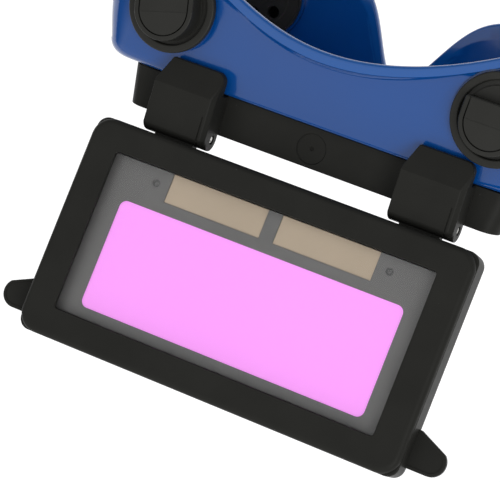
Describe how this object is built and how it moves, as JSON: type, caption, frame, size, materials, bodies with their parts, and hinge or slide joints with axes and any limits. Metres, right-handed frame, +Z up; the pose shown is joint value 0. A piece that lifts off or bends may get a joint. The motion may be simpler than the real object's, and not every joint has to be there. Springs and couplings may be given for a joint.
{
  "type": "lift-front welding goggles",
  "caption": "Face-fitting soft goggles with baffled vents, a clear lens and a hinged front holding an auto-darkening filter that lifts up.",
  "frame": {"origin": "on the face seal at the middle of the forehead line, level with the middle of the clear lens", "axes": "+X sideways, towards the wearer's left; +Y back towards the wearer; +Z up"},
  "size_m": [0.1788, 0.3094, 0.1118],
  "materials": {
    "shell_blue": "glossy soft PVC",
    "black_plastic": "satin moulded",
    "vent_black": "satin moulded",
    "clear_plastic": "polished clear polycarbonate",
    "filter_grey": "smooth moulded",
    "filter_glass": "polished, grey printed border",
    "shutter_lilac": "coated glass, lilac reflection",
    "circuit_green": "solder mask",
    "solar_cell": "smooth cell behind glass",
    "sensor_dark": "smooth lens",
    "steel": "bright drawn pin",
    "battery_steel": "plated",
    "elastic_black": "woven elastic webbing"
  },
  "bodies": {
    "goggle_body": {"goggle_shell": "shell_blue", "front_retainer": "black_plastic", "clear_lens": "clear_plastic", "hinge_bracket_left": "black_plastic", "hinge_bracket_right": "black_plastic", "hinge_pin_left": "steel", "hinge_pin_right": "steel", "vent_base_upper_left": "vent_black", "vent_base_upper_right": "vent_black", "vent_base_lower_left": "vent_black", "vent_base_lower_right": "vent_black", "strap_stud_left": "black_plastic", "strap_stud_right": "black_plastic"},
    "lift_front": {"lift_front_bezel": "black_plastic", "lift_front_back_frame": "black_plastic", "outer_cover_lens": "clear_plastic", "inner_cover_lens": "clear_plastic", "filter_housing": "filter_grey", "filter_glass": "filter_glass", "lcd_shutter": "shutter_lilac", "circuit_board": "circuit_green", "solar_cell_left": "solar_cell", "solar_cell_right": "solar_cell", "arc_sensor_left": "sensor_dark", "arc_sensor_right": "sensor_dark", "coin_cell_left": "battery_steel", "coin_cell_right": "battery_steel"},
    "headband": {"headband_strap": "elastic_black", "strap_clip_left": "black_plastic", "strap_clip_right": "black_plastic"},
    "slider": {"strap_slider": "black_plastic"},
    "vent_upper_left": {"vent_cap_upper_left": "vent_black"},
    "vent_upper_right": {"vent_cap_upper_right": "vent_black"},
    "vent_lower_left": {"vent_cap_lower_left": "vent_black"},
    "vent_lower_right": {"vent_cap_lower_right": "vent_black"}
  },
  "joints": [
    {"name": "lift_front_hinge", "type": "hinge", "parent": "goggle_body", "child": "lift_front", "pos_m": [0, -0.0353, 0.0373], "axis": [-1, 0, 0], "range_deg": [-105, 2]},
    {"name": "headband_swing", "type": "hinge", "parent": "goggle_body", "child": "headband", "pos_m": [0, 0.02, 0], "axis": [1, 0, 0], "range_deg": [-40, 60]},
    {"name": "strap_adjust", "type": "slide", "parent": "headband", "child": "slider", "axis": [0, 1, 0], "range_m": [-0.02, 0.025]},
    {"name": "vent_turn_upper_left", "type": "hinge", "parent": "goggle_body", "child": "vent_upper_left", "pos_m": [-0.0508, -0.002, 0.04], "axis": [0, 0, 1], "continuous": true},
    {"name": "vent_turn_upper_right", "type": "hinge", "parent": "goggle_body", "child": "vent_upper_right", "pos_m": [0.0508, -0.002, 0.04], "axis": [0, 0, 1], "continuous": true},
    {"name": "vent_turn_lower_left", "type": "hinge", "parent": "goggle_body", "child": "vent_lower_left", "pos_m": [-0.0508, 0.0014, -0.038], "axis": [0, 0, 1], "continuous": true},
    {"name": "vent_turn_lower_right", "type": "hinge", "parent": "goggle_body", "child": "vent_lower_right", "pos_m": [0.0508, 0.0014, -0.038], "axis": [0, 0, 1], "continuous": true}
  ]
}
